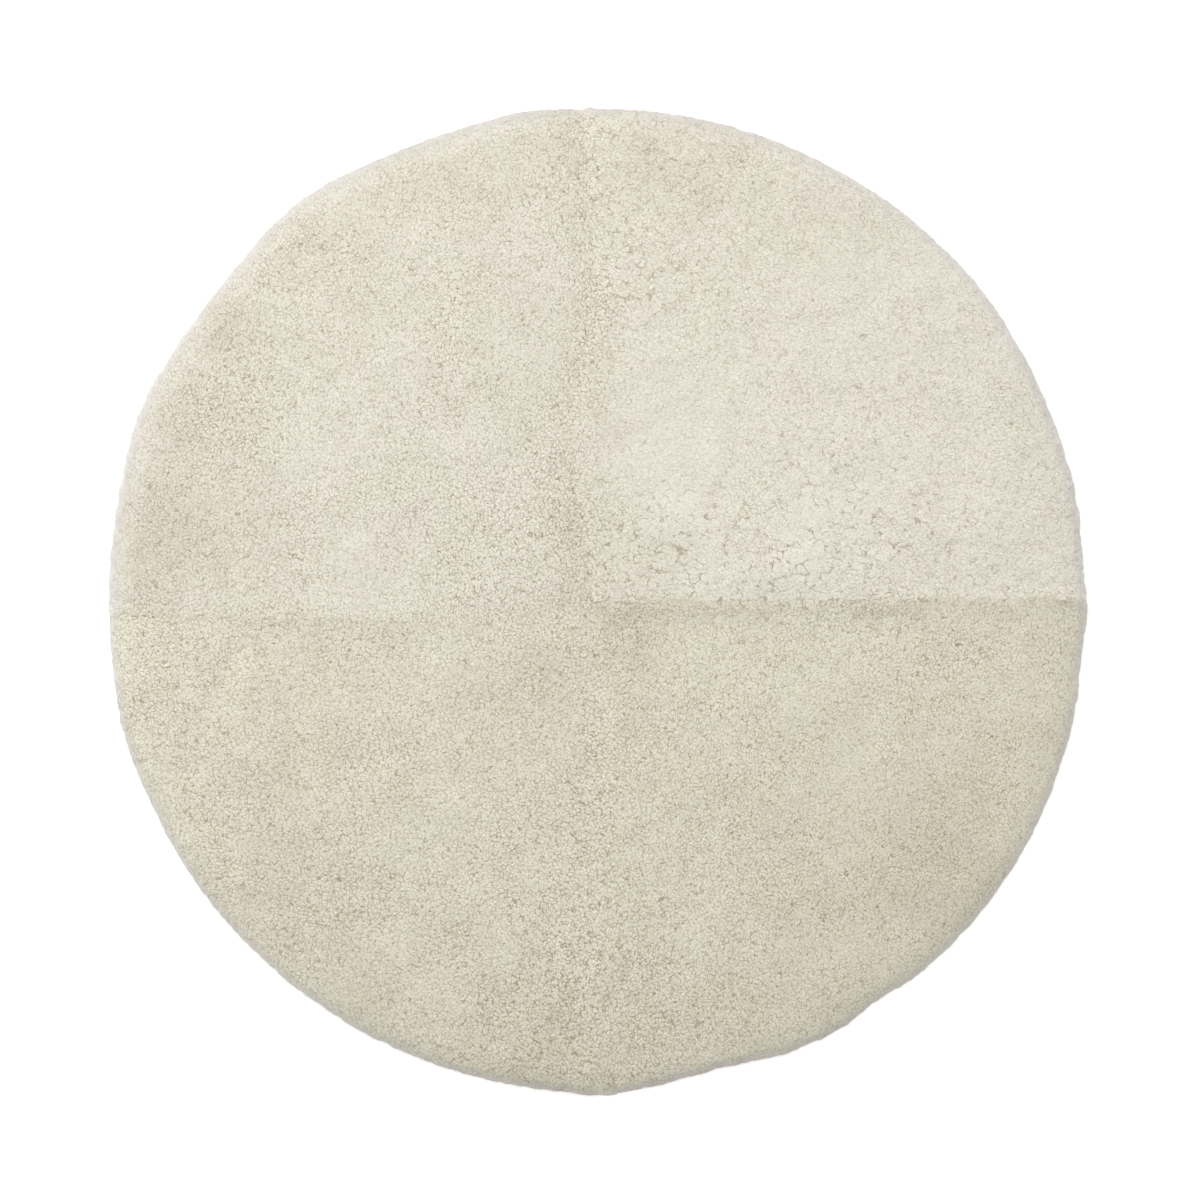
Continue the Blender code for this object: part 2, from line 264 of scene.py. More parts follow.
# Wool material. Widths are shares of a cell, and weights are shares of the way from tips to depths,
# whose colour holds painted shade
FIBRE_FINENESS = 1.5  # cells of the fibres' ends to one of the curls
GAP_WIDTH = 0.09
CURL_GAP_WEIGHT = 0.7
FIBRE_GAP_WEIGHT = 0.4
LONG_GAP_FINENESS = 88.0
LONG_GAP_WIDTH = 0.07
LONG_GAP_WEIGHT = 0.9
DARK_WEIGHT = 0.6
PINKER = (1.004, 0.998, 1.004)
GREENER = (0.994, 1.001, 0.990)
HAZE_COLOUR = (0.715, 0.705, 0.715)

# Wool mesh
GRID = 240  # squares along each seam
# The rim's roll: rows of (inset, share of the wool's height). The last two lie under the widest
RIM_PROFILE = ((0.03, 1.0), (0.017, 0.87), (0.006, 0.64), (0.0, 0.35), (0.0035, 0.115), (0.011, 0.03))
RIM_STEPS = 15
RIM_HEIGHT = 0.023  # of the wool, to measure the roll along
RIM_FLATTENS = 0.2  # share of the wool's height below which the curls flatten
RIM_CURLS = 0.15  # what is left of them at the floor
RIM_CLEARS = 0.5  # share below which the haze thins
RIM_HAZE = 0.3  # what is left of it at the floor
RIM_SHADE_AND_DIRT_BEGINS = 0.6  # share below which the wool gets painted shade and dirt
RIM_SHADE_AND_DIRT = 0.45  # by this much at the floor
LOWEST = 0.0004  # that the wool comes to the floor
TUCK = 0.009  # how far the wool's foot lies inside its last row, as a share of the way to the crossing
WALL_BLEND = 0.002  # from a seam, where the wool stands its full half gap off it

# Loose locks that stand out of the wool: how many, how long and how thick, and how upright
Locks = namedtuple("Locks", "count length thickness rise")
TOP_LOCKS = Locks(1000, 0.0055, 0.00025, 0.25)
RIM_FIBRES = Locks(15000, 0.0075, 0.00008, 0.7)
LOCK_SEED = 7
LOCK_LEAN = (1, 1, 0.3)  # how far a lock may lean along each axis where it starts
LOCK_BEND = (1, 1, 0.5)  # and where it ends
LOCK_END = (0.35, 0.65, 0.1)  # how much of its start's way, of its bend and of straight out its end has
LOCK_LENGTHS = (0.6, 1.25)  # the shortest and the longest, as shares of their length
LOCK_ROOT = 0.0006  # how deep a lock is rooted
LOCK_TAPER = (1.0, 0.8, 0.0)  # its thickness at its root, its middle and its tip
LOCK_LOWEST = 0.0012  # that a lock comes to the floor
FIBRE_ROOT = 0.0008
FIBRE_SCATTER = 0.0012
FIBRE_TAPER = (1.0, 0.0)
LEVEL_ROOTS = (slice(3, -1), slice(3, -1))  # points of the level grid that locks grow from
RIM_ROOTS = (slice(5, -2), slice(3, -3))  # rows and columns of the rim that fibres grow from

# Hides and their stitches
HIDE_INSET = 0.014
HIDE_THICKNESS = 0.0018
HIDE_GRID = 40
HIDE_CLEARANCE = 0.0001  # under the wool
LID_SHARE = 0.001  # of its own size, that the hide's hidden top has on the bake
SEAM_LIFT = 0.0009  # how far the hides rise off the floor at their seams, where the stitches cross
SEAM_LIFT_WIDTH = 0.0045
STITCH_PITCH = 0.006
STITCH_REACH = 0.003  # how far a stitch runs to either side of its seam
STITCH_SLANT = 0.0012
STITCH_MARGIN = (0.012, 0.004)  # free of stitches, at the crossing and at the rim
STITCH_BENDS = (-1.0, -0.75, 0.0, 0.75, 1.0, 1.05)  # points along a stitch, in shares of its reach
STITCH_THICKNESS = (0.7, 1.0, 1.0, 1.0, 0.7, 0.0)  # there, in shares of the thread's radius
STITCH_DIP = 0.8  # share of its reach past which a stitch rises into the hide
THREAD_RADIUS = 0.00035

# The studio. The sky is white near the horizon, where a low camera sees it, and grey above
FLOOR_REACH = 60.0
FLOOR_DROP = 0.0005
FLOOR_GLOW = (1.5, 6.0, 0.6, 0.8)  # from and to what distance it grows, and its strength there
SKY_GLOW = (0.22, 0.45, 1.0, 0.31)  # from and to what height it fades, and its strength there
Lamp = namedtuple("Lamp", "name place size power")
LAMPS = (
    Lamp("key", (-1.7, 3.4, 3.8), 1.6, 196),
    Lamp("fill", (1.6, -1.0, 3.0), 2.5, 14),
    Lamp("left", (-3.3, -0.7, 1.5), 2.0, 24),
    Lamp("right", (3.4, 0.4, 1.5), 2.0, 16),
)
CAMERA_PLACE = (0.0006, 0.001, 3.258)
CAMERA_LENS = 80
CAMERA_SENSOR = 36

MM = 0.001
TINY = 1e-6
BAKE_MARGIN = 0.01
ASKEW = (0.3, 0.1, 0.2)  # turns a direction to any other one


def smooth_curve(places, rows):
    """The value at each place of a smooth curve through rows of (place, value)."""
    stops, values = np.array(rows).T
    slopes = np.gradient(values, stops)
    left = np.clip(np.searchsorted(stops, places) - 1, 0, len(stops) - 2)
    span = stops[left + 1] - stops[left]
    share = (places - stops[left]) / span
    return (
        values[left] * (1 + 2 * share) * (1 - share) ** 2
        + slopes[left] * span * share * (1 - share) ** 2
        + values[left + 1] * (3 - 2 * share) * share**2
        + slopes[left + 1] * span * (share - 1) * share**2
    )


def outline_radius(angle):
    """The outline's distance from its own middle."""
    radius = np.full_like(angle, RUG_RADIUS)
    for bulge in BULGES:
        away = (np.degrees(angle) - bulge.angle + 180) % 360 - 180
        radius += bulge.height * np.exp(-((away / bulge.half_width) ** 2))
    return radius


def outline_reach(angle):
    """The outline's distance from the crossing of the seams."""
    reach = np.full_like(angle, RUG_RADIUS)
    for _ in range(OUTLINE_ROUNDS):
        x = CROSSING[0] + reach * np.cos(angle)
        y = CROSSING[1] + reach * np.sin(angle)
        reach += outline_radius(np.arctan2(y, x)) - np.hypot(x, y)
    return reach


def seam_angle(seam, reach):
    """The direction in which a seam lies from the crossing, at a distance from it."""
    sideways = smooth_curve(reach, WANDER[seam]) / np.maximum(reach, 0.001)
    return math.radians(SEAMS[seam]) + np.arcsin(np.clip(sideways, -1, 1))


def plan(skin, turn, reach):
    """Where a point of a skin lies seen from above, with its distance to the skin's two seams."""
    start = seam_angle(skin.first, reach)
    sweep = (seam_angle(skin.second, reach) - start) % (2 * math.pi)
    angle = start + turn * sweep
    stretched = reach * outline_reach(angle) / RUG_RADIUS
    x = CROSSING[0] + stretched * np.cos(angle)
    y = CROSSING[1] + stretched * np.sin(angle)
    return x, y, stretched * turn * sweep, stretched * (1 - turn) * sweep


def centring():
    """How far the CAD's frame, centred on the rug's box, lies from the one of the tables."""
    skin = SKINS[0]
    reach = np.linspace(0, RUG_RADIUS, 200)
    low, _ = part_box("skin_" + skin.name)
    own_x = plan(skin, np.ones_like(reach), reach)[0].min() + PIECE_GAP / 2
    own_y = plan(skin, np.zeros_like(reach), reach)[1].min() + PIECE_GAP / 2
    return np.array([low.x - own_x, low.y - own_y, 0.0])


def crease_depth(x, y):
    """How far the creases lower the wool. Each is deepest at its middle."""
    depth = np.zeros_like(x)
    along = np.linspace(0, 1, CREASE_STEPS)
    weights = np.stack([(1 - along) ** 2, 2 * along * (1 - along), along**2], axis=-1)
    for crease in CREASES:
        bow = weights @ np.array([crease.start, crease.middle, crease.end])
        nearest = np.full_like(x, np.inf)
        strength = np.zeros_like(x)
        for step, (near, span) in enumerate(zip(bow, np.diff(bow, axis=0))):
            share = np.clip(((x - near[0]) * span[0] + (y - near[1]) * span[1]) / (span @ span), 0, 1)
            away = np.hypot(x - near[0] - share * span[0], y - near[1] - share * span[1])
            middle_share = np.sin(math.pi * (step + share) / (CREASE_STEPS - 1))
            strength = np.where(away < nearest, CREASE_TIP + (1 - CREASE_TIP) * middle_share, strength)
            nearest = np.minimum(nearest, away)
        depth += crease.depth * strength * np.exp(-((nearest / crease.half_width) ** 2))
    return depth


def lump_height(x, y, pattern):
    """How far the soft swells and lumps raise the wool."""
    height = np.zeros(x.size)
    for lumps in LUMP_LAYERS:
        for index, (at_x, at_y) in enumerate(zip(x.flat, y.flat)):
            place = Vector((at_x / lumps.size, at_y / lumps.size, pattern))
            height[index] += lumps.height * noise.noise(place)
    return height.reshape(x.shape)


def lattice_random(column, row, seed):
    """A fixed random number from 0 to 1 for each square of a lattice."""
    mixed = column.astype(np.int64) * 374761393 + row.astype(np.int64) * 668265263 + seed * 974634777
    mixed &= 0xFFFFFFFF
    mixed = ((mixed ^ (mixed >> 13)) * 1274126177) & 0xFFFFFFFF
    mixed = ((mixed ^ (mixed >> 15)) * 2246822519) & 0xFFFFFFFF
    return (mixed ^ (mixed >> 16)) / 2.0**32


def soft_noise(x, y, size, seed):
    """Smooth noise from -1 to 1, with swells of about this size."""
    column = np.floor(x / size)
    row = np.floor(y / size)
    across = x / size - column
    along = y / size - row
    across = across**3 * (across * (across * 6 - 15) + 10)
    along = along**3 * (along * (along * 6 - 15) + 10)
    near, far = (
        lattice_random(column, at, seed) * (1 - across) + lattice_random(column + 1, at, seed) * across
        for at in (row, row + 1)
    )
    return 2 * (near * (1 - along) + far * along) - 1


def layered(x, y, layers):
    """The sum of layers of soft noise."""
    return sum(layer.strength * soft_noise(x, y, layer.size, layer.seed) for layer in layers)


def tuft_cells(x, y, size, seed):
    """Wool parts into tufts, one to a cell: how deep in the gap between two tufts each point lies, from 0 to
    about 1, and how high its tuft stands, from -1 to 1."""
    column = np.floor(x / size)
    row = np.floor(y / size)
    first = np.full(x.shape, np.inf)
    second = np.full(x.shape, np.inf)
    first_at = np.zeros((*x.shape, 3))
    second_at = np.zeros((*x.shape, 3))
    for step_x in (-1, 0, 1):
        for step_y in (-1, 0, 1):
            cell_x = column + step_x
            cell_y = row + step_y
            own = lattice_random(cell_x, cell_y, seed + 2)
            at_x = (cell_x + 0.5 + TUFT_SCATTER * (lattice_random(cell_x, cell_y, seed) - 0.5)) * size
            at_y = (cell_y + 0.5 + TUFT_SCATTER * (lattice_random(cell_x, cell_y, seed + 1) - 0.5)) * size
            place = np.stack([at_x, at_y, own], axis=-1)
            away = (x - at_x) ** 2 + (y - at_y) ** 2
            nearer = away < first
            between = ~nearer & (away < second)
            second = np.where(nearer, first, np.where(between, away, second))
            second_at = np.where(nearer[..., None], first_at, np.where(between[..., None], place, second_at))
            first = np.where(nearer, away, first)
            first_at = np.where(nearer[..., None], place, first_at)
    apart = np.hypot(*(first_at - second_at)[..., :2].T).T
    edge = (second - first) / (2 * np.maximum(apart, TINY))
    share = np.clip(edge / (GAP_REACH * size), 0, 1)
    gap = 1 - np.sqrt(1 - (1 - share) ** 2)
    openness = (first_at[..., 2] * PAIR_MIX + second_at[..., 2] * PAIR_MIX) % 1
    return gap * (GAP_LEAST + GAP_RANGE * openness), 2 * first_at[..., 2] - 1


def skin_share(skin, to_first, to_second, field):
    """A skin's value of a field, which turns into its neighbours' at the seams."""
    index = SKINS.index(skin)
    before = getattr(SKINS[index - 1], field)
    after = getattr(SKINS[(index + 1) % len(SKINS)], field)
    own = getattr(skin, field)
    by_first = 0.5 * np.exp(-to_first / NEIGHBOUR_BLEND)
    by_second = 0.5 * np.exp(-to_second / NEIGHBOUR_BLEND)
    return own * (1 - by_first - by_second) + before * by_first + after * by_second


def fleece(skin, x, y, to_first, to_second, inset):
    """How far the curls raise the wool, and its nap: how strong the gaps between the curls and the long gaps
    are, how dark it is with its painted shade, and how much haze lies on it. inset is how far inside the
    outline each point is."""
    warp_x = x + layered(x, y, WARP_X)
    warp_y = y + layered(x, y, WARP_Y)
    clump_gap, clump_lift = tuft_cells(warp_x, warp_y, CLUMP_SIZE, CLUMP_SEED)
    curl_gap, curl_lift = tuft_cells(warp_x, warp_y, CURL_SIZE, CURL_SEED)
    fine, coarse, clumps, curls, haze_width, shade = (
        skin_share(skin, to_first, to_second, field)
        for field in ("fine", "coarse", "clumps", "curls", "haze", "shade")
    )
    uneven = layered(x, y, UNEVEN)
    fine = fine * (1 - FINE_UNEVENNESS * uneven)
    coarse = coarse * (1 + COARSE_UNEVENNESS * uneven)
    dark = BASE_DARK + layered(x, y, CLOUDS)
    for patch in PATCHES:
        near = np.exp(-((x - patch.x) ** 2 + (y - patch.y) ** 2) / patch.radius**2)
        fine = fine + patch.fine * near
        coarse = coarse + patch.coarse * near
        dark = dark + patch.dark * near
    broken = 1 + layered(x, y, BROKEN)
    # Painted shade beside each seam, painted light where the table's value is below 0, and a thin line of
    # painted shade on the seam
    for name, away, side in ((skin.first, to_first, "dark_after"), (skin.second, to_second, "dark_before")):
        look = SEAM_LOOKS[name]
        near = np.exp(-((away / look.width) ** 2))
        line = np.exp(-((away / SEAM_LINE_WIDTH) ** 2))
        fine = fine + look.fine * near
        dark = dark + (getattr(look, side) * near + SEAM_LINE_SHADE * line) * broken

    height = clumps * (1 + coarse) * (TUFT_LIFT * clump_lift - clump_gap)
    height += curls * (TUFT_LIFT * curl_lift - curl_gap) + layered(x, y, GRAIN)

    # Towards the rim, the haze hides the gaps, and the wool under it gets painted shade, most at the back and
    # the front
    haze = np.exp(-inset / haze_width)
    fine = fine * (1 - HAZE_COVER * haze)
    coarse = np.clip(coarse, 0, None) * (1 - haze)
    dark = dark * (1 - haze) + shade * haze * y**2 / (x**2 + y**2 + MM)
    return MM * height, np.stack([fine, coarse, dark, HAZE_MOST * haze], axis=-1)


def rim_profile():
    """How the wool rolls over the rim: the inset and the height share of each row, how far along the roll it
    lies, and which way is out there."""
    rows = np.array(RIM_PROFILE)
    corners = rows * (1, RIM_HEIGHT)
    along = np.append(0, np.cumsum(np.hypot(*np.diff(corners, axis=0).T)))
    steps = np.linspace(0, along[-1], RIM_STEPS + 1)[1:]
    inset = smooth_curve(steps, list(zip(along, rows[:, 0])))
    share = smooth_curve(steps, list(zip(along, rows[:, 1])))
    slope_out = -np.gradient(inset, steps)
    slope_up = np.gradient(share * RIM_HEIGHT, steps)
    length = np.hypot(slope_out, slope_up)
    return inset, share, steps, -slope_up / length, slope_out / length


def wool_base(skin, turn, reach):
    """The points of the wool's top at these turns and reaches, without its curls."""
    x, y, to_first, to_second = plan(skin, turn, reach)
    first = SEAM_LOOKS[skin.first]
    second = SEAM_LOOKS[skin.second]
    by_first = np.exp(-((to_first / first.bank_after) ** 2))
    by_second = np.exp(-((to_second / second.bank_before) ** 2))
    level = skin.wool + lump_height(x, y, skin.pattern) - CREASE_SHARE * crease_depth(x, y)
    first_height = skin.wool - first.drop_after
    second_height = skin.wool - second.drop_before
    z = level * (1 - by_first) * (1 - by_second)
    z += first_height * by_first * (1 - by_second) + second_height * by_second * (1 - by_first)
    z += (first_height + second_height) / 2 * by_first * by_second
    past_shoulder = np.maximum(RUG_RADIUS - SHOULDER_INSET - reach, 0) / SHOULDER_SOFTNESS
    z *= 1 - SHOULDER_DROP * np.exp(-past_shoulder)
    return x, y, z, to_first, to_second


def quarter_grid(count):
    """The turns and reaches, from 0 to 1, of a square grid bent to fill a quarter round."""
    steps = np.linspace(0, 1, count + 1)
    across, up = np.meshgrid(steps, steps, indexing="ij")
    round_x = across * np.sqrt(1 - up**2 / 2)
    round_y = up * np.sqrt(1 - across**2 / 2)
    return np.arctan2(round_y, round_x) / (math.pi / 2), np.hypot(round_x, round_y)


def half_gap(skin):
    """How far a skin stands off its two seams, towards its own quarter."""
    middle = math.radians(SEAMS[skin.first] + 45)
    return np.array([math.copysign(PIECE_GAP / 2, way) for way in (math.cos(middle), math.sin(middle))])


def stray(x, y):
    """A small sideways wander that makes seams as ragged as wool is, and the outline a little."""
    rim = np.clip((np.hypot(x, y) - RUG_RADIUS + SHOULDER_INSET) / SHOULDER_INSET, 0, 1)
    freedom = 1 - RIM_STEADINESS * rim
    return freedom * layered(x, y, STRAY_X), freedom * layered(x, y, STRAY_Y)


Wool = namedtuple("Wool", "level level_flat level_nap rim rim_flat rim_nap rim_out")


def wool_points(skin, shift):
    """The wool's grid of level points and its rows of rim points, with the flat places and the nap of both,
    and which way is out at the rim."""
    turn, reach = quarter_grid(GRID)
    reach *= RUG_RADIUS - SHOULDER_INSET
    x, y, z, to_first, to_second = wool_base(skin, turn, reach)
    height, level_nap = fleece(skin, x, y, to_first, to_second, RUG_RADIUS - reach)
    stray_x, stray_y = stray(x, y)
    stand_off = 1 - np.exp(-((np.minimum(to_first, to_second) / WALL_BLEND) ** 2))
    level = np.stack(
        [x + stray_x + shift[0] * stand_off, y + stray_y + shift[1] * stand_off, z + height], axis=-1
    )

    edge_turn = np.append(turn[-1], turn[-2::-1, -1])
    inset, *profile = rim_profile()
    rim_turn, rim_inset = np.meshgrid(edge_turn, inset)
    share, along, out, up = (np.repeat(values[:, None], len(edge_turn), axis=1) for values in profile)
    base_x, base_y, base_z, _, _ = wool_base(skin, rim_turn, RUG_RADIUS - rim_inset)
    flat_x, flat_y, to_first, to_second = plan(skin, rim_turn, RUG_RADIUS - SHOULDER_INSET + along)
    height, rim_nap = fleece(skin, flat_x, flat_y, to_first, to_second, rim_inset)
    height = height * np.clip(share / RIM_FLATTENS, RIM_CURLS, 1)
    # The lower rows of the rim get painted shade and dirt
    rim_nap[..., 2] += RIM_SHADE_AND_DIRT * (1 - np.clip(share / RIM_SHADE_AND_DIRT_BEGINS, 0, 1))
    rim_nap[..., 3] *= np.clip(share / RIM_CLEARS, RIM_HAZE, 1)
    away = np.hypot(base_x, base_y)
    out_x = out * base_x / away
    out_y = out * base_y / away
    stray_x, stray_y = stray(base_x, base_y)
    rim_z = np.maximum(base_z * share + height * up, LOWEST)
    rim = np.stack([base_x + height * out_x + stray_x, base_y + height * out_y + stray_y, rim_z], axis=-1)
    level_flat = np.stack([x, y], axis=-1)
    rim_flat = np.stack([flat_x, flat_y], axis=-1)
    rim_out = unit(np.stack([out_x, out_y, up], axis=-1))
    return Wool(level, level_flat, level_nap, rim, rim_flat, rim_nap, rim_out)


class Shell:
    """Points and faces of a mesh being put together, with each point's flat place on the bake and its nap."""

    def __init__(self):
        self.points = []
        self.flats = []
        self.naps = []
        self.count = 0
        self.faces = []
        self.sharp = []

    def add(self, points, flats, nap):
        """Add points, and return their numbers in the same layout."""
        points = np.asarray(points, float)
        self.points.append(points.reshape(-1, 3))
        self.flats.append(np.asarray(flats, float).reshape(-1, 2))
        self.naps.append(np.broadcast_to(nap, (*points.shape[:-1], 4)).reshape(-1, 4))
        numbers = np.arange(self.count, self.count + points[..., 0].size).reshape(points.shape[:-1])
        self.count += numbers.size
        return numbers

    def quads(self, numbers, turned=False):
        """Faces between the neighbours of a grid of points."""
        corners = [numbers[:-1, :-1], numbers[1:, :-1], numbers[1:, 1:], numbers[:-1, 1:]]
        if turned:
            corners = corners[::-1]
        self.faces.extend(np.stack([c.ravel() for c in corners], axis=-1).tolist())

    def face(self, numbers):
        """One face through these points."""
        self.faces.append([int(number) for number in numbers])

    def tubes(self, lines, radii, flats, nap=NO_NAP):
        """Closed tubes of three sides, one along each line of points, that end in a tip."""
        ahead = np.gradient(lines, axis=1)
        ahead /= np.linalg.norm(ahead, axis=2, keepdims=True)
        aside = np.cross(ahead, np.roll(ahead, 1, axis=2) + ASKEW)
        aside /= np.linalg.norm(aside, axis=2, keepdims=True)
        above = np.cross(ahead, aside)
        turns = np.arange(3) * 2 * math.pi / 3
        ring = aside[:, :, None] * np.cos(turns)[:, None] + above[:, :, None] * np.sin(turns)[:, None]
        points = lines[:, :-1, None] + radii[:-1, None, None] * ring[:, :-1]
        body = self.add(points, flats[:, None, None] + points[..., :2] - lines[:, :1, None, :2], nap)
        tip = self.add(lines[:, -1], flats + lines[:, -1, :2] - lines[:, 0, :2], nap)
        for side in range(3):
            after = (side + 1) % 3
            for row in range(lines.shape[1] - 2):
                near = body[:, row]
                far = body[:, row + 1]
                corners = [near[:, side], near[:, after], far[:, after], far[:, side]]
                self.faces.extend(np.stack(corners, axis=1).tolist())
            last = body[:, -1]
            self.faces.extend(np.stack([last[:, side], last[:, after], tip], 1).tolist())
        self.faces.extend(body[:, 0, ::-1].tolist())

    def mesh(self, name):
        """The mesh, shaded smooth, with its bake places and nap."""
        mesh = bpy.data.meshes.new(name)
        mesh.from_pydata(np.concatenate(self.points) + centring(), [], self.faces)
        flats = np.concatenate(self.flats)
        low = flats.min(axis=0)
        span = (flats.max(axis=0) - low).max()
        places = BAKE_MARGIN + (1 - 2 * BAKE_MARGIN) * (flats - low) / span
        corners = np.empty(len(mesh.loops), np.int32)
        mesh.loops.foreach_get("vertex_index", corners)
        mesh.uv_layers.new(name="OFBake").data.foreach_set("uv", places[corners].ravel())
        naps = np.concatenate(self.naps)
        mesh.attributes.new("nap", "FLOAT_VECTOR", "POINT").data.foreach_set("vector", naps[:, :3].ravel())
        mesh.attributes.new("haze", "FLOAT", "POINT").data.foreach_set("value", naps[:, 3].copy())
        mesh.shade_smooth()
        ends = np.empty(2 * len(mesh.edges), np.int32)
        mesh.edges.foreach_get("vertices", ends)
        creased = np.isin(ends, self.sharp).reshape(-1, 2).all(axis=1)
        mesh.attributes.new("sharp_edge", "BOOLEAN", "EDGE").data.foreach_set("value", creased)
        return mesh


def wool_piece(skin, wool, material):
    """The wool of one skin: a closed form from its curls down to the hide."""
    level, level_flat, level_nap, rim, rim_flat, rim_nap, _ = wool
    shell = Shell()
    top = shell.add(level, level_flat, level_nap)
    shell.quads(top)
    edge = np.append(top[-1], top[-2::-1, -1])
    rows = shell.add(rim, rim_flat, rim_nap)
    shell.quads(np.vstack([edge, rows]))

    # Under the wool: the tucked-in rim, the walls along the seams and the flat underside
    tucked = rim[-1].copy()
    tucked[:, :2] += (np.array(CROSSING) - tucked[:, :2]) * TUCK
    tucked[:, 2] = HIDE_THICKNESS
    foot = shell.add(tucked, rim_flat[-1], DEEP_SHADE_NAP)
    shell.quads(np.vstack([rows[-1], foot]))
    shell.sharp = np.concatenate([top[:, 0], top[0], rows[:, 0], rows[:, -1]])
    first_wall = level[1:, 0] * (1, 1, 0) + (0, 0, HIDE_THICKNESS)
    second_wall = level[0, 1:] * (1, 1, 0) + (0, 0, HIDE_THICKNESS)
    corner = shell.add(level[0, 0] * (1, 1, 0) + (0, 0, HIDE_THICKNESS), level_flat[0, 0], DEEP_SHADE_NAP)
    first = shell.add(first_wall, level_flat[1:, 0], DEEP_SHADE_NAP)
    second = shell.add(second_wall, level_flat[0, 1:], DEEP_SHADE_NAP)
    first_foot = np.append(corner, first)
    second_foot = np.append(corner, second)
    shell.quads(np.vstack([top[:, 0], first_foot]))
    shell.quads(np.vstack([second_foot, top[0]]))
    shell.face([first_foot[-1], top[-1, 0], *rows[:, 0], foot[0]])
    shell.face([foot[-1], *rows[::-1, -1], top[0, -1], second_foot[-1]])
    shell.face([*first_foot, *foot, *second_foot[:0:-1]])
    return new_piece("wool_" + skin.name, shell, material)


def unit(vectors):
    """Vectors brought to length 1."""
    return vectors / np.linalg.norm(vectors, axis=-1, keepdims=True)


def lock_lines(draw, roots, outward, locks):
    """Curved lines for loose locks that grow from these roots, of three points each."""
    count = len(roots)
    lean = unit(draw.normal(size=(count, 3)) * LOCK_LEAN)
    bend = unit(draw.normal(size=(count, 3)) * LOCK_BEND)
    start = unit(outward * locks.rise + lean * (1 - locks.rise))
    end = unit(LOCK_END[0] * start + LOCK_END[1] * bend + LOCK_END[2] * outward)
    length = locks.length * draw.uniform(*LOCK_LENGTHS, size=(count, 1))
    root = roots - outward * LOCK_ROOT
    middle = root + start * length * 0.5
    tip = middle + end * length * 0.5
    lines = np.stack([root, middle, tip], axis=1)
    lines[..., 2] = np.maximum(lines[..., 2], LOCK_LOWEST)
    return lines


def lock_piece(skin, wool, material):
    """The loose wool of one skin: locks on its top, and the soft haze of fine fibres round its rim."""
    draw = np.random.default_rng(SKINS.index(skin) + LOCK_SEED)
    shell = Shell()
    roots = wool.level[LEVEL_ROOTS].reshape(-1, 3)
    flats = wool.level_flat[LEVEL_ROOTS].reshape(-1, 2)
    chosen = draw.choice(len(roots), TOP_LOCKS.count, replace=False)
    up = np.broadcast_to((0.0, 0.0, 1.0), (TOP_LOCKS.count, 3))
    lines = lock_lines(draw, roots[chosen], up, TOP_LOCKS)
    shell.tubes(lines, TOP_LOCKS.thickness * np.array(LOCK_TAPER), flats[chosen])

    # The fibres are straight, from a lock's root to its tip
    roots = wool.rim[RIM_ROOTS].reshape(-1, 3)
    flats = wool.rim_flat[RIM_ROOTS].reshape(-1, 2)
    chosen = draw.choice(len(roots), RIM_FIBRES.count)
    outward = wool.rim_out[RIM_ROOTS].reshape(-1, 3)[chosen]
    scatter = FIBRE_SCATTER * draw.normal(size=(RIM_FIBRES.count, 3))
    lines = lock_lines(draw, roots[chosen] + scatter - FIBRE_ROOT * outward, outward, RIM_FIBRES)
    shell.tubes(lines[:, ::2], RIM_FIBRES.thickness * np.array(FIBRE_TAPER), flats[chosen], FIBRE_NAP)
    return new_piece("locks_" + skin.name, shell, material)


def new_piece(name, shell, material):
    """Put a finished shell into the scene."""
    piece = bpy.data.objects.new(name, shell.mesh(name))
    piece.data.materials.append(material)
    bpy.context.scene.collection.objects.link(piece)
    return piece


def border(grid):
    """The outermost values of a square grid, once round."""
    return np.concatenate([grid[:, 0], grid[-1, 1:], grid[-2::-1, -1], grid[0, -2:0:-1]])


def hide_piece(skin, material):
    """The hide of one skin: a thin slab under its wool, lifted a little off the floor at the seams."""
    turn, reach = quarter_grid(HIDE_GRID)
    x, y, to_first, to_second = plan(skin, turn, reach * (RUG_RADIUS - HIDE_INSET))
    shift = half_gap(skin)
    lift = SEAM_LIFT * np.exp(-((np.minimum(to_first, to_second) / SEAM_LIFT_WIDTH) ** 2))
    under = np.stack([x + shift[0], y + shift[1], lift], axis=-1)
    flats = np.stack([x, y], axis=-1)
    shell = Shell()
    bottom = shell.add(under, flats, NO_NAP)
    shell.quads(bottom, turned=True)
    ring = border(bottom)
    outline = border(under) * (1, 1, 0) + (0, 0, HIDE_THICKNESS - HIDE_CLEARANCE)
    lid = shell.add(outline, flats.min(axis=(0, 1)) + LID_SHARE * border(flats), NO_NAP)
    for k in range(len(ring)):
        shell.face([ring[k - 1], ring[k], lid[k], lid[k - 1]])
    shell.face(lid)
    return new_piece("hide_" + skin.name, shell, material)


